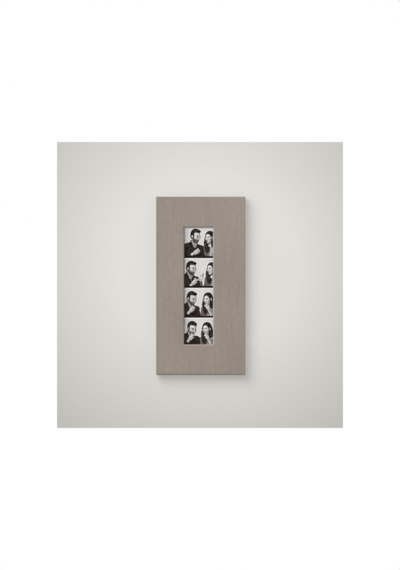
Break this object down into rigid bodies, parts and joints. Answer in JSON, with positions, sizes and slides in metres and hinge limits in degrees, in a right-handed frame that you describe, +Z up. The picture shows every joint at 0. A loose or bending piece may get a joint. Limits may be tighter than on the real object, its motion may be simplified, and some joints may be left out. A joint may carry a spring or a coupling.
{
  "type": "photo strip frame",
  "caption": "Flat rectangular wall frame in taupe veneer with a narrow bevelled upright window for a photo-booth strip, a glazed rebate behind it, and a backing board held by turn buttons.",
  "frame": {"origin": "middle of the sawtooth hanger's bar, on its rear face, which lies on the wall", "axes": "+X to the right as seen from the front, +Y into the wall, +Z up; the face looks towards -Y"},
  "size_m": [0.15, 0.0175, 0.3],
  "materials": {
    "veneer": "matt taupe straight-grained veneer",
    "lipping": "matt taupe stained solid wood",
    "fibreboard": "raw medium-density fibreboard",
    "glazing": "clear float glass",
    "print": "satin black and white photographic paper",
    "filler": "plain grey-brown board",
    "hardboard": "smooth dark brown hardboard",
    "zinc": "zinc-plated pressed steel",
    "rubber": "black moulded rubber"
  },
  "bodies": {
    "frame": {"panel_core": "fibreboard", "face_veneer": "veneer", "lipping_bottom": "lipping", "lipping_right": "lipping", "lipping_top": "lipping", "lipping_left": "lipping", "window_lining_bottom": "lipping", "window_lining_right": "lipping", "window_lining_top": "lipping", "window_lining_left": "lipping", "glazing": "glazing", "photo_strip": "print", "filler_board": "filler", "backing_board": "hardboard", "button_screw_left_top": "zinc", "button_screw_left_middle": "zinc", "button_screw_left_bottom": "zinc", "button_screw_right_top": "zinc", "button_screw_right_middle": "zinc", "button_screw_right_bottom": "zinc", "sawtooth_hanger": "zinc", "hanger_screw_left": "zinc", "hanger_screw_right": "zinc", "bumper_left": "rubber", "bumper_right": "rubber"},
    "button_left_top": {"turn_button_left_top": "zinc"},
    "button_left_middle": {"turn_button_left_middle": "zinc"},
    "button_left_bottom": {"turn_button_left_bottom": "zinc"},
    "button_right_top": {"turn_button_right_top": "zinc"},
    "button_right_middle": {"turn_button_right_middle": "zinc"},
    "button_right_bottom": {"turn_button_right_bottom": "zinc"}
  },
  "joints": [
    {"name": "turn_left_top", "type": "hinge", "parent": "frame", "child": "button_left_top", "pos_m": [-0.0438, -0.0024, -0.06], "axis": [0, 1, 0], "continuous": true},
    {"name": "turn_left_middle", "type": "hinge", "parent": "frame", "child": "button_left_middle", "pos_m": [-0.0438, -0.0024, -0.13], "axis": [0, 1, 0], "continuous": true},
    {"name": "turn_left_bottom", "type": "hinge", "parent": "frame", "child": "button_left_bottom", "pos_m": [-0.0438, -0.0024, -0.2], "axis": [0, 1, 0], "continuous": true},
    {"name": "turn_right_top", "type": "hinge", "parent": "frame", "child": "button_right_top", "pos_m": [0.0362, -0.0024, -0.06], "axis": [0, 1, 0], "continuous": true},
    {"name": "turn_right_middle", "type": "hinge", "parent": "frame", "child": "button_right_middle", "pos_m": [0.0362, -0.0024, -0.13], "axis": [0, 1, 0], "continuous": true},
    {"name": "turn_right_bottom", "type": "hinge", "parent": "frame", "child": "button_right_bottom", "pos_m": [0.0362, -0.0024, -0.2], "axis": [0, 1, 0], "continuous": true}
  ]
}
